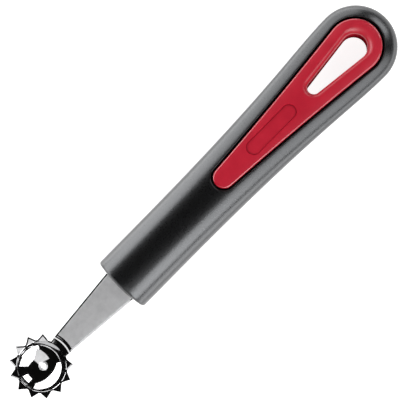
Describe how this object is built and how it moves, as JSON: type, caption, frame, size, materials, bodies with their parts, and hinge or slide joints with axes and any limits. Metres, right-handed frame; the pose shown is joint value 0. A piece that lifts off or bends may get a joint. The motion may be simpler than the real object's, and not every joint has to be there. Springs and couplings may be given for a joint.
{
  "type": "tomato corer",
  "caption": "Hand corer: a small toothed steel scoop with a drain hole on a flat shank, in a black soft handle with red inlays and a drop-shaped hanging eye.",
  "frame": {"origin": "under the middle of the tool's length, on its plane of symmetry, at the height of the lowest point of the grip", "axes": "+X from the scoop to the round end of the handle, +Z out of the face that the scoop opens to, +Y across"},
  "size_m": [0.1754, 0.028, 0.0188],
  "materials": {
    "blade_steel": "polished scoop and neck, satin shank",
    "core_plastic": "plain moulded",
    "grip_rubber": "fine matte, soft to the touch",
    "inlay_plastic": "satin red"
  },
  "bodies": {
    "root": {"scoop_blade": "blade_steel", "handle_core": "core_plastic", "grip_skin": "grip_rubber", "inlay_front": "inlay_plastic", "inlay_back": "inlay_plastic"}
  },
  "joints": []
}
